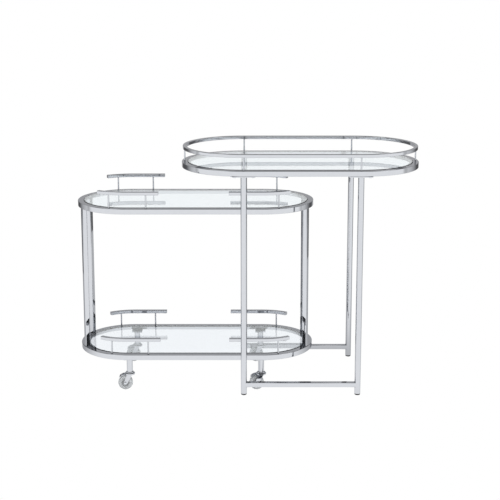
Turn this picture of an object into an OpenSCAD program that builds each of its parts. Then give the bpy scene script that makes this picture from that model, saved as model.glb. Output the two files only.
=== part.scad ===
// Two-piece nesting bar cart. A tall glass-topped table stands on four round legs, and a lower
// two-tier cart on swivel casters rolls in between those legs. Both are chrome-plated steel tube.
// Origin: on the floor, midway between the two pieces. +X runs from the cart to the table, and
// the front is -Y.

/* [Oval rings] */
// Length of every oval ring, end to end
ring_len = 800; // [660:10:960]
// Depth of the tall table's ring, front to back
tall_depth = 412; // [340:2:500]
// Width of the ring tube, seen from above
ring_w = 20; // [17:1:24]
// Height of the ring tube
ring_h = 18; // [15:1:24]
// Wall of every steel tube
tube_wall = 1.5; // [1:0.1:2]
// Width of the lip that carries the glass
lip_w = 10; // [9:1:16]
// Thickness of the lip
lip_t = 3; // [2:0.5:4]

/* [Heights] */
// Height of the tall table's ring
tall_h = 762; // [620:1:920]
// Height of the lower shelf's ring
shelf_h = 130; // [118:1:180]
// Free height between the low cart's rails and the tall table's ring
nest_gap = 58; // [20:1:80]
// Height of the gallery above the tall table's ring
gallery_rise = 54; // [40:1:80]
// Height of the short rails above the low cart's rings
rail_rise = 56; // [40:1:80]

/* [Glass] */
// Thickness of each glass panel
glass_t = 5; // [4:0.5:8]
// Gap between the glass and the ring tube
glass_gap = 1; // [0.5:0.1:2]
// How far the glass stands above the top of the ring
glass_proud = 1; // [0:0.5:2]
// Thickness of the clear bumper pads under the glass
pad_t = 1; // [0.5:0.1:2]
// Diameter of the bumper pads
pad_d = 8; // [6:1:9]

/* [Legs] */
// Diameter of the legs
leg_d = 20; // [16:0.5:25]
// Distance from the edge of the ring to the middle of a leg
leg_inset = 10; // [10:1:14]
// Distance from the end of the ring's straight side to a leg
leg_back = 4; // [0:1:30]
// Height and width of the square floor stretchers
stretcher_w = 16; // [12:1:16]
// Height of the underside of the stretchers
stretcher_z = 28; // [12:1:120]
// Thickness of the foot glides
glide_t = 5; // [3:1:10]

/* [Gallery and rails] */
// Width of the rail tube, seen from above
rail_w = 13; // [9:1:15]
// Height of the rail tube
rail_h = 11; // [8:1:14]
// Distance from the edge of the ring to the middle of a rail
rail_inset = 10; // [8:1:12]
// Diameter of the thin posts
post_d = 5; // [4:0.5:6]
// Straight length of a short rail
rail_run = 113; // [60:1:120]
// Angle of the bent end of a short rail
rail_arc = 32.5; // [20:0.5:45]
// Distance from the bend to the inner post
post_run = 71; // [40:1:100]
// Angle of the outer post on the bend
post_arc = 18.5; // [8:0.5:30]

/* [Low cart] */
// Free gap on each side between the cart's rings and the legs
side_gap = 14; // [8:0.5:30]
// How far the cart stands pulled out of the tall table
pull_out = 354; // [0:1:600]
// Width of the square end posts
upright_w = 16; // [13:1:19]
// Angle of each end post from the middle of the ring's end
upright_arc = 27; // [20:1:40]

/* [Casters] */
// Diameter of a wheel
wheel_d = 50; // [40:1:55]
// Width of a wheel
wheel_w = 18; // [14:1:20]
// Distance that a wheel trails behind its swivel
trail = 15; // [14:1:18]
// Diameter of the wheel's axle
axle_d = 6; // [5:0.5:7]
// Diameter of the kingpin
kingpin_d = 8; // [7:0.5:9]
// Diameter of the stem tube
stem_d = 20; // [18:1:22]
// Distance from the end of the cart's straight side to a stem
stem_back = 6; // [0:1:20]
// Free gap between a swivelling wheel and the legs
swing_gap = 1.5; // [1:0.5:10]

/* [Fits] */
// Radial clearance of a turning fit
turn_fit = 0.08; // [0.05:0.01:0.1]
// Radial clearance of a plug or a screw in its hole
plug_fit = 0.1; // [0.05:0.01:0.2]
// Gap between flat faces that turn past each other
face_gap = 0.4; // [0.3:0.1:0.6]

/* [Hidden] */
$fn = 96;
chrome = [0.86, 0.87, 0.89];
steel = [0.62, 0.63, 0.65];
clear_glass = [0.80, 0.90, 0.92, 0.35];
clear_plastic = [0.85, 0.86, 0.86, 0.6];
grey_plastic = [0.60, 0.61, 0.61];
black_plastic = [0.08, 0.08, 0.09];

low_depth = tall_depth - 2 * (leg_inset + leg_d / 2 + side_gap);
low_h = tall_h - ring_h - nest_gap - rail_rise;
tall_x = pull_out / 2;
low_x = -pull_out / 2;

// Straight half-length of each ring, where its round ends begin
tall_run = (ring_len - tall_depth) / 2;
low_run = (ring_len - low_depth) / 2;
lip_drop = glass_t + pad_t - glass_proud;

leg_x = tall_run - leg_back;
leg_y = tall_depth / 2 - leg_inset;
plate_t = 3;
plate_reach = 38;
screw_reach = 30;
screw_d = 5;
screw_len = 8;
screw_head_d = 9;
screw_head_t = 2.5;
leg_top = tall_h - ring_h - plate_t;
glide_stem_len = 12;

wheel_r = wheel_d / 2;
sweep = sqrt(pow(trail + wheel_r, 2) + pow(wheel_w / 2, 2));
stem_x = low_run - stem_back;
stem_y = min(low_depth / 2 - ring_w / 2, leg_y - leg_d / 2 - swing_gap - sweep);
mount_t = 4;
mount_w = 36;
mount_inset = 10;
mount_top = shelf_h - ring_h;
fender_gap = 2.5;
fork_t = 2;
cheek_y = wheel_w / 2 + 1;
crown_t = 2.5;
crown_d = 34;
crown_rim = 5;
fork_top = wheel_d + fender_gap + fork_t + 4;
collar_t = 4;
collar_d = 26;
stem_end = fork_top + face_gap + collar_t;
stem_floor = 10;
stem_wall = 2;
pin_head_d = 12;
pin_head_t = 2;
pin_up = 8;
hub_r = 13;
boss_r = 7;
axle_head_d = 9;
axle_head_t = 2;

bolt_d = 6;
bolt_head_d = 10;
bolt_head_t = 3;
bolt_up = 14;
insert_h = 20;

SIDES = [[-1, -1], [1, -1], [-1, 1], [1, 1]];
PLACES = ["front_left", "front_right", "back_left", "back_right"];

// ---- shared shapes ----

// A flat oval with straight sides and half-round ends
module oval(length, depth) {
    square([length - depth, depth], center = true);
    for (side = [-1, 1]) translate([side * (length - depth) / 2, 0]) circle(d = depth);
}

// An upright oval band, its outline inset from the given size
module oval_band(length, depth, inset, width, height) {
    outer = 2 * inset;
    inner = 2 * (inset + width);
    linear_extrude(height) difference() {
        oval(length - outer, depth - outer);
        oval(length - inner, depth - inner);
    }
}

// A closed oval tube of rectangular section, its top face at z = 0
module oval_tube(length, depth, inset, width, height) {
    translate([0, 0, -height]) difference() {
        oval_band(length, depth, inset, width, height);
        translate([0, 0, tube_wall])
            oval_band(length, depth, inset + tube_wall, width - 2 * tube_wall, height - 2 * tube_wall);
    }
}

module ring(depth) {
    color(chrome) oval_tube(ring_len, depth, 0, ring_w, ring_h);
}

// The flat lip welded inside a ring
module lip(depth) {
    color(chrome) translate([0, 0, -lip_drop - lip_t]) oval_band(ring_len, depth, ring_w, lip_w, lip_t);
}

module glass(depth) {
    cut = 2 * (ring_w + glass_gap);
    color(clear_glass) translate([0, 0, glass_proud - glass_t])
        linear_extrude(glass_t) oval(ring_len - cut, depth - cut);
}

// Eight clear bumper pads on a lip
module pads(depth) {
    run = (ring_len - depth) / 2;
    mid = depth / 2 - ring_w - lip_w / 2;
    color(clear_plastic) translate([0, 0, -lip_drop]) {
        for (s = SIDES) translate([s.x * run * 0.7, s.y * mid, 0]) cylinder(d = pad_d, h = pad_t);
        for (s = SIDES) translate([s.x * run, 0, 0]) rotate(s.x * s.y * 55)
            translate([s.x * mid, 0, 0]) cylinder(d = pad_d, h = pad_t);
    }
}

// The turn that carries a place on the +X axis to a place on a ring's round end
function end_turn(s, angle) = s.x * s.y * angle;

// ---- tall table ----

module tall_ring() {
    translate([tall_x, 0, tall_h]) difference() {
        ring(tall_depth);
        at_leg_screws() translate([0, 0, -ring_h - 1]) cylinder(r = screw_d / 2 + plug_fit, h = tube_wall + 2);
    }
}

module tall_lip() translate([tall_x, 0, tall_h]) lip(tall_depth);
module tall_glass() translate([tall_x, 0, tall_h]) glass(tall_depth);
module tall_glass_pads() translate([tall_x, 0, tall_h]) pads(tall_depth);

module gallery_rail() {
    color(chrome) translate([tall_x, 0, tall_h + gallery_rise])
        oval_tube(ring_len, tall_depth, rail_inset - rail_w / 2, rail_w, rail_h);
}

module gallery_posts() {
    height = gallery_rise - rail_h;
    color(chrome) translate([tall_x, 0, tall_h]) {
        for (s = SIDES) translate([s.x * leg_x, s.y * (tall_depth / 2 - rail_inset), 0])
            cylinder(d = post_d, h = height);
        for (side = [-1, 1]) translate([side * (ring_len / 2 - rail_inset), 0, 0])
            cylinder(d = post_d, h = height);
    }
}

module at_legs() for (s = SIDES) translate([s.x * leg_x, s.y * leg_y, 0]) children();
module at_leg_screws() at_legs() for (side = [-1, 1]) translate([side * screw_reach, 0, 0]) children();

module leg(s) {
    color(chrome) translate([tall_x + s.x * leg_x, s.y * leg_y, glide_t]) difference() {
        cylinder(d = leg_d, h = leg_top - glide_t);
        translate([0, 0, -1]) cylinder(d = leg_d - 2 * tube_wall, h = leg_top - glide_t + 2);
    }
}

module leg_plates() {
    color(chrome) translate([tall_x, 0, leg_top]) difference() {
        at_legs() translate([-plate_reach, -leg_d / 2, 0]) cube([2 * plate_reach, leg_d, plate_t]);
        at_leg_screws() translate([0, 0, -1]) cylinder(r = screw_d / 2 + plug_fit, h = plate_t + 2);
    }
}

module plate_screws() {
    color(steel) translate([tall_x, 0, leg_top]) at_leg_screws() {
        cylinder(d = screw_d, h = screw_len);
        translate([0, 0, -screw_head_t]) cylinder(d = screw_head_d, h = screw_head_t);
    }
}

// A square stretcher, coped to the round legs at both ends
module stretcher(side) {
    color(chrome) translate([tall_x, side * leg_y, stretcher_z]) difference() {
        translate([-leg_x, -stretcher_w / 2, 0]) cube([2 * leg_x, stretcher_w, stretcher_w]);
        translate([-leg_x, -stretcher_w / 2 + tube_wall, tube_wall])
            cube([2 * leg_x, stretcher_w - 2 * tube_wall, stretcher_w - 2 * tube_wall]);
        for (end = [-1, 1]) translate([end * leg_x, 0, -1]) cylinder(d = leg_d, h = stretcher_w + 2);
    }
}

module foot_glides() {
    color(black_plastic) translate([tall_x, 0, 0]) at_legs() {
        cylinder(d = leg_d - 1, h = glide_t);
        cylinder(r = leg_d / 2 - tube_wall - plug_fit, h = glide_t + glide_stem_len);
    }
}

// ---- low cart ----

module at_low(height) translate([low_x, 0, height]) children();

// A place on a round end of the cart's rings, inset from their edge
module at_end(s, angle, inset) {
    translate([s.x * low_run, 0, 0]) rotate(end_turn(s, angle))
        translate([s.x * (low_depth / 2 - inset), 0, 0]) children();
}

module low_top_ring() at_low(low_h) ring(low_depth);
module low_top_lip() at_low(low_h) lip(low_depth);
module low_top_glass() at_low(low_h) glass(low_depth);
module shelf_lip() at_low(shelf_h) lip(low_depth);
module shelf_glass() at_low(shelf_h) glass(low_depth);

module low_glass_pads() {
    at_low(low_h) pads(low_depth);
    at_low(shelf_h) pads(low_depth);
}

module at_uprights() for (s = SIDES) at_end(s, upright_arc, ring_w / 2) children();

module shelf_ring() {
    at_low(shelf_h) difference() {
        ring(low_depth);
        at_uprights() translate([0, 0, -ring_h - 1]) cylinder(r = bolt_d / 2 + plug_fit, h = ring_h + 2);
    }
}

module upright(s) {
    height = low_h - ring_h - shelf_h;
    inner = upright_w - 2 * tube_wall;
    color(chrome) at_low(shelf_h) at_end(s, upright_arc, ring_w / 2) difference() {
        translate([-upright_w / 2, -upright_w / 2, 0]) cube([upright_w, upright_w, height]);
        translate([-inner / 2, -inner / 2, -1]) cube([inner, inner, height + 2]);
    }
}

// Threaded inserts in the feet of the end posts
module upright_inserts() {
    width = upright_w - 2 * tube_wall - 2 * plug_fit;
    color(steel) at_low(shelf_h) at_uprights() difference() {
        translate([-width / 2, -width / 2, 0]) cube([width, width, insert_h]);
        translate([0, 0, -1]) cylinder(r = bolt_d / 2 + plug_fit, h = insert_h + 2);
    }
}

module upright_bolts() {
    color(steel) at_low(mount_top) at_uprights() {
        cylinder(d = bolt_d, h = ring_h + bolt_up);
        translate([0, 0, -bolt_head_t]) cylinder(d = bolt_head_d, h = bolt_head_t);
    }
}

// A short rail along one corner of a ring: straight inwards, bent outwards
module rail(s, height) {
    far = low_depth;
    color(chrome) at_low(height + rail_rise - rail_h) mirror([s.x < 0 ? 1 : 0, 0, 0]) mirror([0, s.y < 0 ? 1 : 0, 0])
        linear_extrude(rail_h) intersection() {
            difference() {
                oval(ring_len - 2 * rail_inset + rail_w, low_depth - 2 * rail_inset + rail_w);
                oval(ring_len - 2 * rail_inset - rail_w, low_depth - 2 * rail_inset - rail_w);
            }
            polygon([
                [low_run - rail_run, 0], [low_run, 0],
                [low_run + far * sin(rail_arc), far * cos(rail_arc)], [low_run - rail_run, far]
            ]);
        }
}

module rail_posts(height) {
    mid = low_depth / 2 - rail_inset;
    color(chrome) at_low(height) for (s = SIDES) {
        translate([s.x * (low_run - post_run), s.y * mid, 0]) cylinder(d = post_d, h = rail_rise - rail_h);
        at_end(s, 90 - post_arc, rail_inset) cylinder(d = post_d, h = rail_rise - rail_h);
    }
}

module top_rail_posts() rail_posts(low_h);
module shelf_rail_posts() rail_posts(shelf_h);

// ---- casters ----

module at_stem(s) translate([low_x + s.x * stem_x, s.y * stem_y, 0]) children();

// Plates welded under the shelf ring, which carry the stems
module caster_mounts() {
    edge = low_depth / 2 - mount_inset;
    reach = edge - stem_y + stem_d / 2 + 4;
    color(chrome) for (s = SIDES) translate([low_x + s.x * stem_x, s.y * edge, mount_top - mount_t])
        translate([-mount_w / 2, s.y > 0 ? -reach : 0, 0]) cube([mount_w, reach, mount_t]);
}

module caster_stems() {
    height = mount_top - mount_t - stem_end;
    color(chrome) for (s = SIDES) at_stem(s) translate([0, 0, stem_end]) difference() {
        cylinder(d = stem_d, h = height);
        translate([0, 0, stem_floor]) cylinder(d = stem_d - 2 * stem_wall, h = height);
        translate([0, 0, -1]) cylinder(r = kingpin_d / 2 + plug_fit, h = stem_floor + 2);
    }
}

module swivel_collars() {
    color(chrome) for (s = SIDES) at_stem(s) translate([0, 0, stem_end - collar_t]) difference() {
        cylinder(d = collar_d, h = collar_t);
        translate([0, 0, -1]) cylinder(r = kingpin_d / 2 + plug_fit, h = collar_t + 2);
    }
}

// Kingpins: riveted below the fork, fixed in the stem
module kingpins() {
    foot = fork_top - crown_t - face_gap - pin_head_t;
    color(steel) for (s = SIDES) at_stem(s) translate([0, 0, foot]) {
        cylinder(d = pin_head_d, h = pin_head_t);
        cylinder(d = kingpin_d, h = stem_end + pin_up - foot);
    }
}

// A pressed fork: rimmed crown over the swivel, fender behind it, and a cheek on each side
module fork(s) {
    outer = wheel_r + fender_gap + fork_t;
    wide = cheek_y + fork_t;
    pin_room = pin_head_d / 2 + 1;
    color(chrome) at_stem(s) difference() {
        union() {
            translate([0, 0, fork_top - crown_t]) cylinder(d = crown_d, h = crown_t);
            translate([0, 0, fork_top - crown_rim]) difference() {
                cylinder(d = crown_d, h = crown_rim);
                translate([0, 0, -1]) cylinder(d = crown_d - 2 * fork_t, h = crown_rim);
            }
            translate([-trail, 0, wheel_r]) difference() {
                rotate([90, 0, 0]) cylinder(r = outer, h = 2 * wide, center = true);
                rotate([90, 0, 0]) cylinder(r = outer - fork_t, h = 2 * wide + 2, center = true);
                translate([-outer - 1, -wide - 1, -outer - 1])
                    cube([2 * outer + 2, 2 * wide + 2, outer + 1 + outer * 0.7]);
                translate([trail - pin_room, -wide - 1, 0]) cube([outer, 2 * wide + 2, outer + 1]);
            }
            for (side = [-1, 1]) cheek(side);
        }
        translate([0, 0, fork_top - crown_t - 1]) cylinder(r = kingpin_d / 2 + turn_fit, h = crown_t + 2);
        translate([-trail, 0, wheel_r]) rotate([90, 0, 0])
            cylinder(r = axle_d / 2 + plug_fit, h = 4 * wide, center = true);
    }
}

// One cheek of the fork: a plate from the axle up to the crown
module cheek(side) {
    base = side > 0 ? cheek_y : -cheek_y - fork_t;
    lift = fork_top - crown_t;
    translate([0, base + fork_t, 0]) rotate([90, 0, 0]) linear_extrude(fork_t) {
        translate([-trail, wheel_r]) circle(r = axle_head_d);
        polygon([
            [-trail - axle_head_d, wheel_r],
            [-trail + axle_head_d, wheel_r],
            [crown_d * 0.3, lift],
            [crown_d * 0.3, lift + crown_t / 2],
            [-trail - axle_head_d, lift + crown_t / 2]
        ]);
    }
}

module at_axle(s) at_stem(s) translate([-trail, 0, wheel_r]) rotate([90, 0, 0]) children();

module axle(s) {
    reach = cheek_y + fork_t;
    color(steel) at_axle(s) {
        cylinder(d = axle_d, h = 2 * reach, center = true);
        for (side = [-1, 1]) translate([0, 0, side * (reach + axle_head_t / 2)])
            cylinder(d = axle_head_d, h = axle_head_t, center = true);
    }
}

module hub(s) {
    color(grey_plastic) at_axle(s) difference() {
        union() {
            cylinder(r = hub_r, h = wheel_w - 6, center = true);
            cylinder(r = boss_r, h = wheel_w + 1, center = true);
        }
        cylinder(r = axle_d / 2 + turn_fit, h = wheel_w + 4, center = true);
    }
}

// The tread, crowned across its width
module tyre(s) {
    crown = 2;
    half = wheel_w / 2;
    color(clear_plastic) at_axle(s) rotate_extrude() polygon([
        [hub_r, -half + crown], [hub_r + crown, -half], [wheel_r - crown, -half], [wheel_r, -half + 2 * crown],
        [wheel_r, half - 2 * crown], [wheel_r - crown, half], [hub_r + crown, half], [hub_r, half - crown]
    ]);
}

// ---- nodes ----

tall_ring();
tall_lip();
tall_glass();
tall_glass_pads();
gallery_rail();
gallery_posts();
leg_plates();
plate_screws();
stretcher(-1);  // front_stretcher
stretcher(1);  // back_stretcher
foot_glides();
low_top_ring();
low_top_lip();
low_top_glass();
shelf_ring();
shelf_lip();
shelf_glass();
low_glass_pads();
upright_inserts();  // end_post_inserts
upright_bolts();  // end_post_bolts
top_rail_posts();
shelf_rail_posts();
caster_mounts();
caster_stems();
swivel_collars();
kingpins();
for (i = [0:3]) {
    place = PLACES[i];
    s = SIDES[i];
    leg(s);
    upright(s);
    rail(s, low_h);
    rail(s, shelf_h);
    fork(s);
    axle(s);
    hub(s);
    tyre(s);
}
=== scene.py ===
import math
import bmesh
import bpy
from mathutils import Matrix, Vector


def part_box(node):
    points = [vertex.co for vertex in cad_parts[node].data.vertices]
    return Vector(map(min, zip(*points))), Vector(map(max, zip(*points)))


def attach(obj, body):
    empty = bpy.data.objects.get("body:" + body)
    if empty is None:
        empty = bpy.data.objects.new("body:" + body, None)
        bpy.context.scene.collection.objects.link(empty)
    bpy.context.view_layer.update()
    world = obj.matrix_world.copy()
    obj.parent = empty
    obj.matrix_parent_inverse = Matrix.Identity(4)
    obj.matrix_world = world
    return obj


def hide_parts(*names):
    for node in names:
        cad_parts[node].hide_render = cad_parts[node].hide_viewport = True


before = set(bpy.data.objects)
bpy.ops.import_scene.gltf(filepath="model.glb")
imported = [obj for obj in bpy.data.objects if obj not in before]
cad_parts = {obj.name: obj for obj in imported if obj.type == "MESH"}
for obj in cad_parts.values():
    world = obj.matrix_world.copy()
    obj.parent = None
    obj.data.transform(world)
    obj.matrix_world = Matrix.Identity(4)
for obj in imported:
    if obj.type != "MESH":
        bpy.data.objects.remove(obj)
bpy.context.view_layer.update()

# ---- Camera ----
# It stands four metres in front of the pair, higher than the tall top, and looks slightly down through a
# long lens.
CAMERA_PLACE = (0.0075, -4.0416, 1.4653)
LOOKING_DOWN = 0.205
LENS = 87.26
UPWARD_SHIFT = -0.1
eye = bpy.data.objects.new("camera", bpy.data.cameras.new("camera"))
bpy.context.collection.objects.link(eye)
eye.location = CAMERA_PLACE
eye.rotation_euler = (math.pi / 2 - LOOKING_DOWN, 0, 0)
eye.data.sensor_width = 36
eye.data.lens = LENS
eye.data.shift_y = UPWARD_SHIFT
eye.data.clip_end = 200
bpy.context.scene.camera = eye

# ---- Tall table: top ring ----
# The ring is a rectangular steel tube bent to an oval, welded, ground flush and chrome plated.
# The legs' plates screw to its underside and the gallery's posts are welded on its top.
MM = 0.001
TURN_STEPS = 128
RING_CORNER = 1.6 * MM
RING_WIDTH = 20 * MM
SAME_POINT = 0.001 * MM


def linear(colour):
    """An sRGB colour such as "C8C8CC" as linear red, green, blue and alpha."""
    channels = [int(colour[i:i + 2], 16) / 255 for i in (0, 2, 4)]
    return [c / 12.92 if c <= 0.04045 else ((c + 0.055) / 1.055) ** 2.4 for c in channels] + [1]


def add(tree, kind, settings=None, links=None):
    """Adds a node to a tree. Settings are its own choices or its inputs' values; links feed its inputs."""
    node = tree.nodes.new(kind)
    for name, value in (settings or {}).items():
        if name in node.inputs:
            node.inputs[name].default_value = value
        else:
            setattr(node, name, value)
    for name, source in (links or {}).items():
        tree.links.new(source, node.inputs[name])
    return node


def new_finish(name):
    """A material with an empty node tree, and its output node."""
    made = bpy.data.materials.new(name)
    made.use_nodes = True
    made.node_tree.nodes.clear()
    return made, made.node_tree, add(made.node_tree, "ShaderNodeOutputMaterial")


def chrome_plate():
    """Bright chrome over buffed steel: a cool dark mirror, a little wavy where it has been buffed."""
    made, tree, output = new_finish("chrome-plated steel")
    place = add(tree, "ShaderNodeTexCoord").outputs["Object"]
    waves_per_metre = 1000 / 45
    haze_per_metre = 1000 / 12
    waves = add(tree, "ShaderNodeTexNoise", {"Scale": waves_per_metre, "Detail": 1}, {"Vector": place})
    ripple = add(tree, "ShaderNodeBump", {"Strength": 0.25, "Distance": 0.02 * MM},
                 {"Height": waves.outputs["Fac"]})
    haze = add(tree, "ShaderNodeTexNoise", {"Scale": haze_per_metre, "Detail": 3}, {"Vector": place})
    gloss = add(tree, "ShaderNodeMapRange",
                {"From Min": 0.3, "From Max": 0.7, "To Min": 0.025, "To Max": 0.06},
                {"Value": haze.outputs["Fac"]})
    tone = add(tree, "ShaderNodeValToRGB", {}, {"Fac": haze.outputs["Fac"]})
    tone.color_ramp.elements[0].color = linear("A3A5A9")
    tone.color_ramp.elements[1].color = linear("A8AAAE")
    shader = add(tree, "ShaderNodeBsdfPrincipled", {"Metallic": 1, "Specular Tint": linear("C4C4C6")},
                 {"Base Color": tone.outputs["Color"], "Roughness": gloss.outputs["Result"],
                  "Normal": ripple.outputs["Normal"]})
    tree.links.new(shader.outputs["BSDF"], output.inputs["Surface"])
    return made


CHROME = chrome_plate()


def oval_of(node):
    """An oval node's middle, half the length of its straight sides, its end radius, bottom and top."""
    low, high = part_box(node)
    radius = (high.y - low.y) / 2
    return (low.x + high.x) / 2, (high.x - low.x) / 2 - radius, radius, low.z, high.z


def profile(corners, rounding, segments=4):
    """A closed outline in the plane of X and Z, its corners rounded, with no face in it."""
    shape = bmesh.new()
    points = [shape.verts.new((x, 0, z)) for x, z in corners]
    shape.faces.new(points)
    bmesh.ops.bevel(shape, geom=points, offset=rounding, segments=segments, profile=0.5,
                    affect="VERTICES", material=-1)
    bmesh.ops.delete(shape, geom=shape.faces[:], context="FACES_ONLY")
    return shape


def draw_apart(shape, middle, run):
    """Parts a round shape into two half circles at the ends of straight sides."""
    for side in (-1, 1):
        half = [v for v in shape.verts if v.co.x * side > 0]
        bmesh.ops.translate(shape, vec=(middle + side * run, 0, 0), verts=half)


def placed(name, shape, finish):
    """Puts a shape into the scene as an object with a finish."""
    mesh = bpy.data.meshes.new(name)
    shape.to_mesh(mesh)
    shape.free()
    mesh.materials.append(finish)
    made = bpy.data.objects.new(name, mesh)
    bpy.context.collection.objects.link(made)
    return made


def piece(name, shape, finish, slot, body, *nodes):
    """Makes a finished piece of a shape: it rides on a body and stands for its nodes."""
    bmesh.ops.remove_doubles(shape, verts=shape.verts[:], dist=SAME_POINT)
    bmesh.ops.recalc_face_normals(shape, faces=shape.faces[:])
    for face in shape.faces:
        face.smooth = True
    made = placed(name, shape, finish)
    made.modifiers.new("flats stay flat", "WEIGHTED_NORMAL")
    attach(made, body)
    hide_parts(*nodes)


def oval_tube(name, node, width, corner, body):
    """A rectangular tube or strip that runs round an oval."""
    middle, run, radius, bottom, top = oval_of(node)
    inner = radius - width
    shape = profile([(inner, bottom), (radius, bottom), (radius, top), (inner, top)], corner)
    half_step = Matrix.Rotation(math.pi / TURN_STEPS, 3, "Z")
    bmesh.ops.rotate(shape, cent=(0, 0, 0), matrix=half_step, verts=shape.verts[:])
    bmesh.ops.spin(shape, geom=shape.verts[:] + shape.edges[:], cent=(0, 0, 0), axis=(0, 0, 1),
                   angle=2 * math.pi, steps=TURN_STEPS, use_merge=True, use_duplicate=False)
    draw_apart(shape, middle, run)
    piece(name, shape, CHROME, "chrome", body, node)


oval_tube("tall_ring_tube", "tall_ring", RING_WIDTH, RING_CORNER, "tall_table")

# ---- Tall table: lip ----
# A flat steel strip welded inside the ring, below its top, and plated together with it. It carries the
# glass.
LIP_WIDTH = 10 * MM
LIP_CORNER = 0.5 * MM
oval_tube("tall_lip_strip", "tall_lip", LIP_WIDTH, LIP_CORNER, "tall_table")

# ---- Tall table: glass ----
# An oval of 5 mm float glass, its edge ground and polished before it was tempered.
# It is loose in the ring, held off the lip by clear bumper pads.
POLISHED_EDGE = 0.9 * MM
LYING_FLAT = 0.01 * MM


def float_glass():
    """Clear float glass: almost no colour through its face, and a cool green seen along its edge."""
    made, tree, output = new_finish("tempered float glass")
    place = add(tree, "ShaderNodeTexCoord").outputs["Object"]
    roller_waves_per_metre = 1000 / 120
    waves = add(tree, "ShaderNodeTexNoise", {"Scale": roller_waves_per_metre, "Detail": 0},
                {"Vector": place})
    ripple = add(tree, "ShaderNodeBump", {"Strength": 0.2, "Distance": 0.01 * MM},
                 {"Height": waves.outputs["Fac"]})
    shader = add(tree, "ShaderNodeBsdfPrincipled",
                 {"Base Color": linear("F9F3FA"), "Roughness": 0, "IOR": 1.52, "Transmission Weight": 1},
                 {"Normal": ripple.outputs["Normal"]})
    body = add(tree, "ShaderNodeVolumeAbsorption", {"Color": linear("D9F4EE"), "Density": 60})
    tree.links.new(shader.outputs["BSDF"], output.inputs["Surface"])
    tree.links.new(body.outputs["Volume"], output.inputs["Volume"])
    return made


GLASS = float_glass()


def oval_pane(name, node, body):
    """A flat pane whose rim is softened top and bottom by polishing."""
    middle, run, radius, bottom, top = oval_of(node)
    shape = bmesh.new()
    bmesh.ops.create_circle(shape, cap_ends=True, radius=radius, segments=TURN_STEPS)
    half_step = Matrix.Rotation(math.pi / TURN_STEPS, 3, "Z")
    bmesh.ops.rotate(shape, cent=(0, 0, 0), matrix=half_step, verts=shape.verts[:])
    draw_apart(shape, middle, run)
    bmesh.ops.translate(shape, vec=(0, 0, bottom), verts=shape.verts[:])
    raised = bmesh.ops.extrude_face_region(shape, geom=shape.faces[:])["geom"]
    lifted = [part for part in raised if isinstance(part, bmesh.types.BMVert)]
    bmesh.ops.translate(shape, vec=(0, 0, top - bottom), verts=lifted)
    rim = [e for e in shape.edges if abs(e.verts[0].co.z - e.verts[1].co.z) < LYING_FLAT]
    bmesh.ops.bevel(shape, geom=rim, offset=POLISHED_EDGE, segments=3, profile=0.5,
                    affect="EDGES", material=-1)
    piece(name, shape, GLASS, "clear_glass", body, node)


oval_pane("tall_glass_pane", "tall_glass", "tall_table")

# ---- Tall table: gallery ----
# A smaller rectangular tube bent to the same oval, on thin round posts, keeps bottles on the top.
# Each post is a rod welded to the ring; the weld is ground to a small flare before plating.
GALLERY_WIDTH = 13 * MM
GALLERY_CORNER = 1.5 * MM
POST_RADIUS = 2.5 * MM
WELD_FLARE = 1 * MM
WELD_ROUNDING = 0.6 * MM
POST_STEPS = 24


def turned(corners, rounding, steps=48):
    """A shape turned about Z. Its outline may be closed, or start and end on the axis."""
    shape = bmesh.new()
    points = [shape.verts.new((r, 0, z)) for r, z in corners]
    shape.faces.new(points)
    off_axis = [v for v in points if v.co.x > 0]
    bmesh.ops.bevel(shape, geom=off_axis, offset=rounding, segments=3, profile=0.5,
                    affect="VERTICES", material=-1)
    bmesh.ops.delete(shape, geom=shape.faces[:], context="FACES_ONLY")
    on_axis = [e for e in shape.edges if max(v.co.x for v in e.verts) < SAME_POINT]
    bmesh.ops.delete(shape, geom=on_axis, context="EDGES")
    bmesh.ops.spin(shape, geom=shape.verts[:] + shape.edges[:], cent=(0, 0, 0), axis=(0, 0, 1),
                   angle=2 * math.pi, steps=steps, use_merge=True, use_duplicate=False)
    bmesh.ops.remove_doubles(shape, verts=shape.verts[:], dist=SAME_POINT)
    return shape


def at_each(shape, spots):
    """Leaves a copy of a shape at each spot."""
    first = shape.verts[:] + shape.edges[:] + shape.faces[:]
    for spot in spots[1:]:
        copied = bmesh.ops.duplicate(shape, geom=first)["geom"]
        points = [part for part in copied if isinstance(part, bmesh.types.BMVert)]
        bmesh.ops.translate(shape, vec=spot, verts=points)
    points = [part for part in first if isinstance(part, bmesh.types.BMVert)]
    bmesh.ops.translate(shape, vec=spots[0], verts=points)
    return shape


def welded_post(bottom, top):
    """A thin rod with a small ground weld at its foot and its head."""
    wide = POST_RADIUS + WELD_FLARE
    outline = [(0, bottom), (wide, bottom), (POST_RADIUS, bottom + 2 * WELD_FLARE),
               (POST_RADIUS, top - 2 * WELD_FLARE), (wide, top), (0, top)]
    return turned(outline, WELD_ROUNDING, POST_STEPS)


oval_tube("gallery_rail_tube", "gallery_rail", GALLERY_WIDTH, GALLERY_CORNER, "tall_table")
tall_middle = oval_of("tall_ring")[0]
leg_low, leg_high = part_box("leg_front_right")
leg_reach = (leg_low.x + leg_high.x) / 2 - tall_middle
leg_spread = -(leg_low.y + leg_high.y) / 2
posts_low, posts_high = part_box("gallery_posts")
end_reach = posts_high.x - POST_RADIUS - tall_middle
gallery_spots = [(tall_middle + side * end_reach, 0, 0) for side in (-1, 1)]
for side in (-1, 1):
    for front in (-1, 1):
        gallery_spots.append((tall_middle + side * leg_reach, front * leg_spread, 0))
piece("gallery_post_rods", at_each(welded_post(posts_low.z, posts_high.z), gallery_spots),
      CHROME, "chrome", "tall_table", "gallery_posts")

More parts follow.
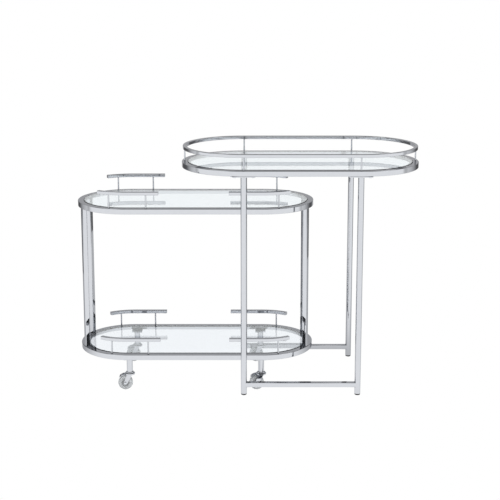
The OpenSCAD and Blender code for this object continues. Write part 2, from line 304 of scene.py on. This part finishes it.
# ---- Tall table: legs ----
# Four lengths of round steel tube, each welded to a flat plate that two screws hold under the ring.
# The plates stay as the frame has them; the tubes get a thin wall and the softened ends of sawn stock.
TUBE_WALL = 1.2 * MM
SAWN_END = 0.4 * MM
LEG_STEPS = 64
CORNERS = {"front_left": (-1, -1), "front_right": (1, -1), "back_left": (-1, 1), "back_right": (1, 1)}
for place in CORNERS:
    low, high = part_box("leg_" + place)
    outer = (high.x - low.x) / 2
    inner = outer - TUBE_WALL
    section = [(inner, low.z), (outer, low.z), (outer, high.z), (inner, high.z)]
    tube = turned(section, SAWN_END, LEG_STEPS)
    axis = [((low.x + high.x) / 2, (low.y + high.y) / 2, 0)]
    piece("leg_tube_" + place, at_each(tube, axis), CHROME, "chrome", "tall_table", "leg_" + place)


def keep(node, finish):
    """Gives a node of the frame, whose shape is right as it is, its finish."""
    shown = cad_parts[node]
    if not shown.material_slots:
        shown.data.materials.append(finish)
    for holder in shown.material_slots:
        holder.material = finish


keep("leg_plates", CHROME)

# ---- Tall table: floor stretchers ----
# Two square tubes, one at the front and one at the back, run into the legs just above the floor and are
# welded there. The sides stay open, so that the low cart rolls in and out between the legs.
SQUARE_CORNER = 2 * MM
RUN_INTO_LEG = Vector((2 * MM, 0, 0))


def square_bar(low, high, along):
    """A square tube with rounded corners and closed ends, from low to high along X or Z."""
    middle = (low + high) / 2
    half = (high - low) / 2
    across = half.z if along == "X" else half.x
    section = [(-across, -half.y), (across, -half.y), (across, half.y), (-across, half.y)]
    shape = profile(section, SQUARE_CORNER)
    bmesh.ops.holes_fill(shape, edges=shape.edges[:], sides=0)
    length = half.x if along == "X" else half.z
    bmesh.ops.rotate(shape, cent=(0, 0, 0), matrix=Matrix.Rotation(math.pi / 2, 3, "X"),
                     verts=shape.verts[:])
    bmesh.ops.translate(shape, vec=(0, 0, -length), verts=shape.verts[:])
    raised = bmesh.ops.extrude_face_region(shape, geom=shape.faces[:])["geom"]
    lifted = [part for part in raised if isinstance(part, bmesh.types.BMVert)]
    bmesh.ops.translate(shape, vec=(0, 0, 2 * length), verts=lifted)
    if along == "X":
        bmesh.ops.rotate(shape, cent=(0, 0, 0), matrix=Matrix.Rotation(math.pi / 2, 3, "Y"),
                         verts=shape.verts[:])
    bmesh.ops.translate(shape, vec=middle, verts=shape.verts[:])
    return shape


for place in ("front", "back"):
    low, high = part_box(place + "_stretcher")
    bar = square_bar(low - RUN_INTO_LEG, high + RUN_INTO_LEG, "X")
    piece(place + "_stretcher_bar", bar, CHROME, "chrome", "tall_table", place + "_stretcher")

# ---- Tall table: foot glides and plate screws ----
# Each leg ends in a black nylon glide, whose plug is pushed up into the tube and whose foot is a flat disc
# with a chamfered rim. The screws that hold the leg plates are zinc plated.
GLIDE_CHAMFER_WIDE = 2 * MM
GLIDE_CHAMFER_HIGH = 1.6 * MM
GLIDE_ROUNDING = 0.5 * MM
PLUG_INSET = 1.6 * MM


def moulded(name, colour, light_colour, roughness, grain_mm):
    """A moulded plastic: one colour with a faint cloudiness, and a fine even moulding grain."""
    made, tree, output = new_finish(name)
    place = add(tree, "ShaderNodeTexCoord").outputs["Object"]
    grain = add(tree, "ShaderNodeTexNoise", {"Scale": 1000 / grain_mm, "Detail": 2}, {"Vector": place})
    tone = add(tree, "ShaderNodeValToRGB", {}, {"Fac": grain.outputs["Fac"]})
    tone.color_ramp.elements[0].color = linear(colour)
    tone.color_ramp.elements[1].color = linear(light_colour)
    bump = add(tree, "ShaderNodeBump", {"Strength": 0.3, "Distance": 0.03 * MM},
               {"Height": grain.outputs["Fac"]})
    shader = add(tree, "ShaderNodeBsdfPrincipled", {"Roughness": roughness, "IOR": 1.5},
                 {"Base Color": tone.outputs["Color"], "Normal": bump.outputs["Normal"]})
    tree.links.new(shader.outputs["BSDF"], output.inputs["Surface"])
    return made, shader


# Injection-moulded nylon, coloured through: a soft dull black.
BLACK_NYLON, nylon = moulded("black nylon", "050505", "0B0B0C", 0.55, 1.5)
nylon.inputs["Specular IOR Level"].default_value = 0.2


def zinc_plate():
    """Zinc plate on steel: paler and duller than the chrome, with a fine spangle in tone and gloss."""
    made, tree, output = new_finish("zinc-plated steel")
    place = add(tree, "ShaderNodeTexCoord").outputs["Object"]
    spangle_per_metre = 1000 / 3
    spangle = add(tree, "ShaderNodeTexNoise", {"Scale": spangle_per_metre, "Detail": 2}, {"Vector": place})
    gloss = add(tree, "ShaderNodeMapRange", {"To Min": 0.22, "To Max": 0.38},
                {"Value": spangle.outputs["Fac"]})
    tone = add(tree, "ShaderNodeValToRGB", {}, {"Fac": spangle.outputs["Fac"]})
    tone.color_ramp.elements[0].color = linear("A2A5AA")
    tone.color_ramp.elements[1].color = linear("B6B8BC")
    shader = add(tree, "ShaderNodeBsdfPrincipled", {"Metallic": 1},
                 {"Base Color": tone.outputs["Color"], "Roughness": gloss.outputs["Result"]})
    tree.links.new(shader.outputs["BSDF"], output.inputs["Surface"])
    return made


ZINC = zinc_plate()
keep("plate_screws", ZINC)

_, glides_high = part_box("foot_glides")
foot_radius = glides_high.y - leg_spread
foot_top = leg_low.z
plug_radius = leg_high.x - tall_middle - leg_reach - PLUG_INSET
glide_outline = [(0, 0), (foot_radius - GLIDE_CHAMFER_WIDE, 0), (foot_radius, GLIDE_CHAMFER_HIGH),
                 (foot_radius, foot_top), (plug_radius, foot_top), (plug_radius, glides_high.z),
                 (0, glides_high.z)]
glide = turned(glide_outline, GLIDE_ROUNDING)
leg_spots = gallery_spots[2:]
piece("foot_glide_set", at_each(glide, leg_spots), BLACK_NYLON, "black_glide", "tall_table", "foot_glides")

# ---- Bumper pads ----
# Discs stuck on the lips, so that the glass doesn't rattle on the steel. They are clear soft vinyl: it is
# nearly colourless and lets most of the light through, so it hardly shows.
CLEAR_VINYL, vinyl = moulded("clear vinyl", "E6E9EA", "F2F4F4", 0.25, 2)
vinyl.inputs["Transmission Weight"].default_value = 0.8
keep("tall_glass_pads", CLEAR_VINYL)
keep("low_glass_pads", CLEAR_VINYL)

# ---- Low cart: top and shelf ----
# Two more ovals, as long as the tall one but narrower, made the same way: a tube ring, a lip welded inside
# it, and a loose glass pane.
for level in ("low_top", "shelf"):
    oval_tube(level + "_ring_tube", level + "_ring", RING_WIDTH, RING_CORNER, "low_cart")
    oval_tube(level + "_lip_strip", level + "_lip", LIP_WIDTH, LIP_CORNER, "low_cart")
    oval_pane(level + "_glass_pane", level + "_glass", "low_cart")

# ---- Low cart: end posts ----
# Two square tubes at each end, set square to the bend of the ring, welded under the top ring.
# A bolt from under the shelf ring runs into an insert in each tube's foot and holds the shelf.
POST_WIDTH = 16 * MM
POST_ARC = math.radians(27)
low_middle, low_run, low_radius, _, _ = oval_of("low_top_ring")
for place, (side, front) in CORNERS.items():
    low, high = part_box("end_post_" + place)
    half = Vector((POST_WIDTH / 2, POST_WIDTH / 2, (high.z - low.z) / 2))
    bar = square_bar(-half, half, "Z")
    facing = Matrix.Rotation(side * front * POST_ARC, 3, "Z")
    bmesh.ops.rotate(bar, cent=(0, 0, 0), matrix=facing, verts=bar.verts[:])
    bmesh.ops.translate(bar, vec=(low + high) / 2, verts=bar.verts[:])
    piece("end_post_tube_" + place, bar, CHROME, "chrome", "low_cart", "end_post_" + place)
keep("end_post_inserts", ZINC)
keep("end_post_bolts", ZINC)

# ---- Low cart: short rails ----
# At each corner of the top and of the shelf a short rail runs along the side and a little way round the
# bend, on two thin posts. It is the gallery's tube, with its sawn ends capped and softened.
RAIL_INSET = 3.5 * MM
RAIL_ARC = math.radians(32.5)
RAIL_CAP = 0.8 * MM
RAIL_STEPS = 12
RAIL_POST_FROM_END = 42 * MM
RAIL_POST_ARC = math.radians(71.5)


def short_rail(section, straight, side, front):
    """A rail of a given section that runs straight, then round the bend, at one of the four corners."""
    rail = profile(section, GALLERY_CORNER)
    bmesh.ops.rotate(rail, cent=(0, 0, 0), matrix=Matrix.Rotation(math.pi / 2, 3, "Z"), verts=rail.verts[:])
    bmesh.ops.translate(rail, vec=(low_run - straight, 0, 0), verts=rail.verts[:])
    grown = bmesh.ops.extrude_edge_only(rail, edges=rail.edges[:])["geom"]
    bend_start = [part for part in grown if isinstance(part, bmesh.types.BMVert)]
    bmesh.ops.translate(rail, vec=(straight, 0, 0), verts=bend_start)
    bend_edges = [e for e in rail.edges if all(v in bend_start for v in e.verts)]
    bmesh.ops.spin(rail, geom=bend_start + bend_edges, cent=(low_run, 0, 0), axis=(0, 0, 1),
                   angle=-RAIL_ARC, steps=RAIL_STEPS, use_duplicate=False)
    caps = bmesh.ops.holes_fill(rail, edges=rail.edges[:], sides=0)["faces"]
    cap_edges = list({e for face in caps for e in face.edges})
    bmesh.ops.bevel(rail, geom=cap_edges, offset=RAIL_CAP, segments=2, profile=0.5,
                    affect="EDGES", material=-1)
    bmesh.ops.scale(rail, vec=(side, front, 1), verts=rail.verts[:])
    bmesh.ops.translate(rail, vec=(low_middle, 0, 0), verts=rail.verts[:])
    return rail


for level in ("top", "shelf"):
    low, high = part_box(level + "_rail_front_right")
    outer = low_radius - RAIL_INSET
    inner = outer - GALLERY_WIDTH
    section = [(inner, low.z), (outer, low.z), (outer, high.z), (inner, high.z)]
    straight = low_middle + low_run - low.x
    for place, (side, front) in CORNERS.items():
        rail = short_rail(section, straight, side, front)
        piece(level + "_rail_tube_" + place, rail, CHROME, "chrome", "low_cart", level + "_rail_" + place)
    posts_low, posts_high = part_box(level + "_rail_posts")
    post_line = posts_high.y - POST_RADIUS
    bend_x = low_run + post_line * math.cos(RAIL_POST_ARC)
    bend_y = post_line * math.sin(RAIL_POST_ARC)
    straight_x = low_run - straight + RAIL_POST_FROM_END
    rail_spots = []
    for side in (-1, 1):
        for front in (-1, 1):
            rail_spots.append((low_middle + side * straight_x, front * post_line, 0))
            rail_spots.append((low_middle + side * bend_x, front * bend_y, 0))
    piece(level + "_rail_post_rods", at_each(welded_post(posts_low.z, posts_high.z), rail_spots),
          CHROME, "chrome", "low_cart", level + "_rail_posts")

# ---- Low cart: caster stems ----
# A plate under the shelf ring carries each stem, a short round tube that ends in a wider swivel collar.
# A zinc-plated kingpin comes up through the fork's crown into the stem, and the fork turns on it.
STEM_RADIUS = 10 * MM
STEM_ROUNDING = 0.3 * MM
COLLAR_ROUNDING = 0.9 * MM
PIN_RADIUS = 4 * MM
PIN_HEAD_HEIGHT = 2 * MM
PIN_DOME_WIDE = 1.5 * MM
PIN_DOME_HIGH = 0.9 * MM
keep("caster_mounts", CHROME)
stems_low, stems_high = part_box("caster_stems")
collars_low, collars_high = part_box("swivel_collars")
pins_low, pins_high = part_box("kingpins")
stem_x = stems_high.x - STEM_RADIUS - low_middle
stem_y = stems_high.y - STEM_RADIUS
collar_radius = collars_high.y - stem_y
pin_head = pins_high.y - stem_y
stem_spots = [(low_middle + side * stem_x, front * stem_y, 0) for side in (-1, 1) for front in (-1, 1)]
stem = turned([(0, stems_low.z), (STEM_RADIUS, stems_low.z), (STEM_RADIUS, stems_high.z),
               (0, stems_high.z)], STEM_ROUNDING)
collar = turned([(PIN_RADIUS, collars_low.z), (collar_radius, collars_low.z),
                 (collar_radius, collars_high.z), (PIN_RADIUS, collars_high.z)], COLLAR_ROUNDING)
head_top = pins_low.z + PIN_HEAD_HEIGHT
pin = turned([(0, pins_low.z), (pin_head - PIN_DOME_WIDE, pins_low.z),
              (pin_head, pins_low.z + PIN_DOME_HIGH), (pin_head, head_top), (PIN_RADIUS, head_top),
              (PIN_RADIUS, pins_high.z), (0, pins_high.z)], STEM_ROUNDING)
piece("caster_stem_tubes", at_each(stem, stem_spots), CHROME, "chrome", "low_cart", "caster_stems")
piece("swivel_collar_rings", at_each(collar, stem_spots), CHROME, "chrome", "low_cart", "swivel_collars")
piece("kingpin_rivets", at_each(pin, stem_spots), ZINC, "zinc_steel", "low_cart", "kingpins")

# ---- Low cart: caster forks ----
# Each fork is pressed steel, plated with the rest: a round crown with a turned-down rim, two cheeks that
# reach back to the axle, and a curved fender over the tread. The crown turns on the kingpin.
SHEET = 2 * MM
TRAIL = 15 * MM
CROWN_RIM = 5 * MM
CROWN_THICK = 2.5 * MM
CROWN_FIT = 0.15 * MM
PRESSED_ROUNDING = 0.6 * MM
CHEEK_INSIDE = 10 * MM
CHEEK_FRONT = 10.2 * MM
CHEEK_BACK = -9 * MM
CHEEK_EYE = 6.3 * MM
CHEEK_CORNER = 2 * MM
CHEEK_EDGE = 0.4 * MM
FENDER_OFF_WHEEL = 4.5 * MM
FENDER_FROM = math.radians(75)
FENDER_TO = math.radians(135)
FENDER_STEPS = 20


def joined(*shapes):
    """Puts several shapes into one."""
    whole = bmesh.new()
    for shape in shapes:
        carrier = bpy.data.meshes.new("carrier")
        shape.to_mesh(carrier)
        shape.free()
        whole.from_mesh(carrier)
        bpy.data.meshes.remove(carrier)
    return whole


def pressed_crown(radius, bottom, top):
    """The round cap over the wheel: a flat disc with a hole for the kingpin and a turned-down rim."""
    hole = PIN_RADIUS + CROWN_FIT
    inner = radius - SHEET
    rim_low = top - CROWN_RIM
    outline = [(hole, bottom), (inner, bottom), (inner, rim_low), (radius, rim_low), (radius, top),
               (hole, top)]
    return turned(outline, PRESSED_ROUNDING)


def pressed_cheek(side, wheel_radius, top):
    """One cheek, seen from the side a plate that is round about the axle and rises to the crown."""
    flat = 0.4 * CHEEK_EYE
    eye_low = wheel_radius - CHEEK_EYE
    eye_side = wheel_radius - flat
    outline = [(-TRAIL - CHEEK_EYE, eye_side), (-TRAIL - flat, eye_low), (-TRAIL + flat, eye_low),
               (-TRAIL + CHEEK_EYE, eye_side), (CHEEK_FRONT, top), (CHEEK_BACK, top)]
    plate = profile(outline, CHEEK_CORNER, 5)
    bmesh.ops.holes_fill(plate, edges=plate.edges[:], sides=0)
    bmesh.ops.translate(plate, vec=(0, CHEEK_INSIDE * side, 0), verts=plate.verts[:])
    raised = bmesh.ops.extrude_face_region(plate, geom=plate.faces[:])["geom"]
    pushed = [part for part in raised if isinstance(part, bmesh.types.BMVert)]
    bmesh.ops.translate(plate, vec=(0, SHEET * side, 0), verts=pushed)
    rim = [e for e in plate.edges if abs(e.verts[0].co.y - e.verts[1].co.y) < LYING_FLAT]
    bmesh.ops.bevel(plate, geom=rim, offset=CHEEK_EDGE, segments=2, profile=0.5,
                    affect="EDGES", material=-1)
    return plate


def pressed_fender(half_width, wheel_radius, outer):
    """The curved plate over the tread, from above the axle to half way down the back of the wheel."""
    inner = outer - SHEET
    outline = [(inner, -half_width), (outer, -half_width), (outer, half_width), (inner, half_width)]
    section = profile(outline, PRESSED_ROUNDING, 3)
    bmesh.ops.rotate(section, cent=(0, 0, 0), matrix=Matrix.Rotation(math.pi / 2, 3, "X"),
                     verts=section.verts[:])
    bmesh.ops.rotate(section, cent=(0, 0, 0), matrix=Matrix.Rotation(-FENDER_FROM, 3, "Y"),
                     verts=section.verts[:])
    bmesh.ops.spin(section, geom=section.verts[:] + section.edges[:], cent=(0, 0, 0), axis=(0, 1, 0),
                   angle=-(FENDER_TO - FENDER_FROM), steps=FENDER_STEPS, use_duplicate=False)
    bmesh.ops.holes_fill(section, edges=section.edges[:], sides=0)
    bmesh.ops.translate(section, vec=(-TRAIL, 0, wheel_radius), verts=section.verts[:])
    return section


def pressed_fork(crown_radius, top, wheel_radius):
    """A whole fork, with its kingpin hole on the Z axis and the place of its wheel behind that."""
    crown_low = top - CROWN_THICK
    cheek_top = crown_low + CROWN_THICK / 2
    crown = pressed_crown(crown_radius, crown_low, top)
    fender = pressed_fender(CHEEK_INSIDE + SHEET, wheel_radius, wheel_radius + FENDER_OFF_WHEEL)
    left_cheek = pressed_cheek(-1, wheel_radius, cheek_top)
    right_cheek = pressed_cheek(1, wheel_radius, cheek_top)
    return joined(crown, fender, left_cheek, right_cheek)


# ---- Low cart: caster axles ----
# Each axle is a zinc-plated steel rivet that runs through both cheeks and the wheel between them. Its two
# heads are domed over the cheeks.
AXLE_RADIUS = 3 * MM
AXLE_HEAD_RADIUS = 4.5 * MM
AXLE_HEAD_HEIGHT = 2 * MM
AXLE_HEAD_DOME = 0.9 * MM
AXLE_ROUNDING = 0.3 * MM


def on_axle(half_outline, rounding, spot, steps=48):
    """A shape turned about the axle and the same on both sides, its middle at a spot."""
    outline = [(r, -z) for r, z in reversed(half_outline)] + half_outline
    shape = turned(outline, rounding, steps)
    bmesh.ops.rotate(shape, cent=(0, 0, 0), matrix=Matrix.Rotation(math.pi / 2, 3, "X"),
                     verts=shape.verts[:])
    return at_each(shape, [spot])


def axle_rivet(reach, spot):
    """An axle that reaches as far as this to either side of a spot."""
    under_head = reach - AXLE_HEAD_HEIGHT
    outline = [(AXLE_RADIUS, under_head), (AXLE_HEAD_RADIUS, under_head),
               (AXLE_HEAD_RADIUS, reach - AXLE_HEAD_DOME), (0.5 * AXLE_HEAD_RADIUS, reach), (0, reach)]
    return on_axle(outline, AXLE_ROUNDING, spot)


# ---- Low cart: wheel centres ----
# A rim and a boss joined by a thin web, moulded in one. The boss runs on the axle.
HUB_RIM_HALF = 6 * MM
HUB_RIM_THICK = 2.4 * MM
HUB_RIM_TAPER = 0.6 * MM
HUB_WEB_HALF = 2.4 * MM
HUB_BOSS_FOOT = 7 * MM
HUB_BOSS_RADIUS = 6.4 * MM
HUB_ROUNDING = 0.4 * MM
AXLE_FIT = 0.1 * MM
# Moulded nylon, coloured through: a plain middle grey, slightly shiny.
GREY_NYLON, _ = moulded("grey nylon", "9A9C9E", "ADAFB1", 0.35, 1.2)


def wheel_centre(radius, boss_half, spot):
    """A wheel's centre of a given radius, its boss reaching as far as this to either side of a spot."""
    rim_inner = radius - HUB_RIM_THICK
    outline = [(radius, HUB_RIM_HALF), (rim_inner, HUB_RIM_HALF), (rim_inner - HUB_RIM_TAPER, HUB_WEB_HALF),
               (HUB_BOSS_FOOT, HUB_WEB_HALF), (HUB_BOSS_RADIUS, boss_half),
               (AXLE_RADIUS + AXLE_FIT, boss_half)]
    return on_axle(outline, HUB_ROUNDING, spot)


# ---- Low cart: treads, and the casters put together ----
# The tread is cast round the wheel centre, with a crowned running face and soft shoulders. All four casters
# are alike and stand with their wheels trailing to the left.
TREAD_SIDE = 2 * MM
TREAD_CROWN = 4 * MM
TREAD_ROUNDING = 0.9 * MM
TREAD_STEPS = 72
# Cast polyurethane: a soft clear tread, a little cloudy, that takes its grey from what is behind it.
CLEAR_TREAD, tread = moulded("clear polyurethane", "ABAEB1", "C5C8CA", 0.2, 3)
tread.inputs["Transmission Weight"].default_value = 0.45


def wheel_tread(radius, inner, half, spot):
    """A tread of a given outer and inner radius, reaching as far as this to either side of a spot."""
    outline = [(radius, half - TREAD_CROWN), (radius - TREAD_SIDE, half), (inner + TREAD_SIDE, half),
               (inner, half - TREAD_SIDE)]
    return on_axle(outline, TREAD_ROUNDING, spot, TREAD_STEPS)


for place, (side, front) in CORNERS.items():
    stem_spot = (low_middle + side * stem_x, front * stem_y, 0)
    _, fork_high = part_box("fork_" + place)
    axle_low, axle_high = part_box("axle_" + place)
    hub_low, hub_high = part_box("hub_" + place)
    wheel_low, wheel_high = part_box("tyre_" + place)
    wheel_radius = (wheel_high.z - wheel_low.z) / 2
    hub_radius = (hub_high.z - hub_low.z) / 2
    axle_spot = (stem_spot[0] - TRAIL, stem_spot[1], wheel_radius)
    fork = pressed_fork(fork_high.x - stem_spot[0], fork_high.z, wheel_radius)
    piece("fork_pressing_" + place, at_each(fork, [stem_spot]), CHROME, "chrome", "caster_" + place,
          "fork_" + place)
    rivet = axle_rivet((axle_high.y - axle_low.y) / 2, axle_spot)
    piece("axle_rivet_" + place, rivet, ZINC, "zinc_steel", "caster_" + place, "axle_" + place)
    centre = wheel_centre(hub_radius, (hub_high.y - hub_low.y) / 2, axle_spot)
    piece("wheel_centre_" + place, centre, GREY_NYLON, "grey_hub", "wheel_" + place, "hub_" + place)
    band = wheel_tread(wheel_radius, hub_radius, (wheel_high.y - wheel_low.y) / 2, axle_spot)
    piece("wheel_tread_" + place, band, CLEAR_TREAD, "clear_tread", "wheel_" + place, "tyre_" + place)

# ---- Studio ----
# A plain white floor, and just over it the glow of the light tables around the set, brightest in front,
# which shows only in reflections and through the glass. With a pale wall behind and a dark room overhead,
# that gives the chrome its look of bright faces, grey tops and dark rounded edges.
FLOOR_SIZE = 60
FLOOR_DOWN = -1 * MM
TABLES_DOWN = -0.5 * MM
TABLES_FRONT_Y = -0.35
TABLES_BACK_Y = 0.3
FRONT_GLOW = 1.8
BACK_GLOW = 1.05


def level_sheet(name, height, finish):
    """A very large level sheet at a given height, with a finish."""
    shape = bmesh.new()
    bmesh.ops.create_grid(shape, x_segments=1, y_segments=1, size=FLOOR_SIZE)
    bmesh.ops.translate(shape, vec=(0, 0, height), verts=shape.verts[:])
    made = placed(name, shape, finish)
    return made


def eased(tree, value, start, end, start_glow=0.0, end_glow=1.0):
    """A node whose result goes softly from one glow to the other while a value goes from start to end."""
    return add(tree, "ShaderNodeMapRange",
               {"interpolation_type": "SMOOTHSTEP", "From Min": start, "From Max": end,
                "To Min": start_glow, "To Max": end_glow}, {"Value": value})


def glowing(name, start, end, start_glow, end_glow):
    """A surface that gives off white light, its strength changing softly from front to back."""
    made, tree, output = new_finish(name)
    spot = add(tree, "ShaderNodeTexCoord").outputs["Object"]
    along = add(tree, "ShaderNodeSeparateXYZ", {}, {"Vector": spot})
    strength = eased(tree, along.outputs["Y"], start, end, start_glow, end_glow)
    light = add(tree, "ShaderNodeEmission", {"Color": linear("FFFFFF")},
                {"Strength": strength.outputs["Result"]})
    tree.links.new(light.outputs["Emission"], output.inputs["Surface"])
    return made


WHITE_FLOOR, floor_tree, floor_output = new_finish("white studio floor")
even = add(floor_tree, "ShaderNodeEmission", {"Color": linear("FFFFFF"), "Strength": 1.0})
floor_tree.links.new(even.outputs["Emission"], floor_output.inputs["Surface"])
floor = level_sheet("studio_floor", FLOOR_DOWN, WHITE_FLOOR)
floor.visible_glossy = False
floor.visible_diffuse = False
floor.visible_transmission = False

LIGHT_TABLES = glowing("light tables", TABLES_FRONT_Y, TABLES_BACK_Y, FRONT_GLOW, BACK_GLOW)
tables = level_sheet("light_tables", TABLES_DOWN, LIGHT_TABLES)
tables.visible_camera = False

# Two flags stand out of sight on the left and the right, from beside the pair to far behind it. They are
# glowing sheets: a painted glow, strong near the pair and weak further back, stands in for light on grey
# cloth. Seen in the chrome, they shade its far bends.
FLAG_X = 1.6
FLAG_FROM_Y = 0.1
FLAG_DIMMED_Y = 1.3
FLAG_TO_Y = 3.0
FLAG_HEIGHT = 1.6
FLAG_NEAR_GLOW = 1.3
FLAG_FAR_GLOW = 0.25
# The flags' cloth is a painted glow, strong near the pair and weak behind it, not a cloth colour.
FLAG_PAINTED_GLOW = glowing("flag sheet with painted glow", FLAG_FROM_Y, FLAG_DIMMED_Y, FLAG_NEAR_GLOW, FLAG_FAR_GLOW)
for side in (-1, 1):
    sheet = bmesh.new()
    bmesh.ops.create_grid(sheet, x_segments=1, y_segments=1, size=0.5)
    bmesh.ops.rotate(sheet, cent=(0, 0, 0), matrix=Matrix.Rotation(math.pi / 2, 3, "Y"),
                     verts=sheet.verts[:])
    bmesh.ops.scale(sheet, vec=(1, FLAG_TO_Y - FLAG_FROM_Y, FLAG_HEIGHT), verts=sheet.verts[:])
    bmesh.ops.translate(sheet, vec=(side * FLAG_X, (FLAG_TO_Y + FLAG_FROM_Y) / 2, FLAG_HEIGHT / 2),
                        verts=sheet.verts[:])
    flag = placed("flag", sheet, FLAG_PAINTED_GLOW)
    flag.visible_camera = False
    flag.visible_diffuse = False
    flag.visible_transmission = False
    flag.visible_shadow = False

# The room: a white wall behind the set; the wall in front of it is bright low down and dark above; the
# ceiling is dim.
WALL_FOOT = 1.3
WALL_ABOVE = 0.15
CEILING = 0.3
FOOT_FADES = (0.2, 0.32)
FRONT_TO_BACK = (-0.35, 0.35)
CEILING_FADES = (0.45, 0.85)
room = bpy.data.worlds.new("studio room")
bpy.context.scene.world = room
room.use_nodes = True
tree = room.node_tree
tree.nodes.clear()
outward = add(tree, "ShaderNodeTexCoord").outputs["Generated"]
aim = add(tree, "ShaderNodeSeparateXYZ", {}, {"Vector": outward})
front_wall = eased(tree, aim.outputs["Z"], *FOOT_FADES, WALL_FOOT, WALL_ABOVE)
wall = eased(tree, aim.outputs["Y"], *FRONT_TO_BACK)
tree.links.new(front_wall.outputs["Result"], wall.inputs["To Min"])
height = eased(tree, aim.outputs["Z"], *CEILING_FADES)
overhead = add(tree, "ShaderNodeMix", {}, {"Factor": height.outputs["Result"], "A": wall.outputs["Result"]})
overhead.inputs["B"].default_value = CEILING
sky = add(tree, "ShaderNodeBackground", {"Color": linear("FFFFFF")},
          {"Strength": overhead.outputs["Result"]})
tree.links.new(sky.outputs["Background"], add(tree, "ShaderNodeOutputWorld").inputs["Surface"])

# Two weak soft boxes, high up in front on the left and the right, aimed at the middle of the pair.
MIDDLE_OF_PAIR = Vector((0, 0, 0.4))
for name, spot, size, watts in (("soft_box_left", (-1.6, -1.2, 2.6), 1.4, 14),
                                ("soft_box_right", (1.8, -0.6, 2.4), 1.0, 8)):
    lamp = bpy.data.objects.new(name, bpy.data.lights.new(name, "AREA"))
    lamp.data.size = size
    lamp.data.energy = watts
    lamp.location = spot
    lamp.rotation_euler = (MIDDLE_OF_PAIR - Vector(spot)).to_track_quat("-Z", "Y").to_euler()
    bpy.context.collection.objects.link(lamp)
bpy.context.scene.view_settings.view_transform = "Standard"
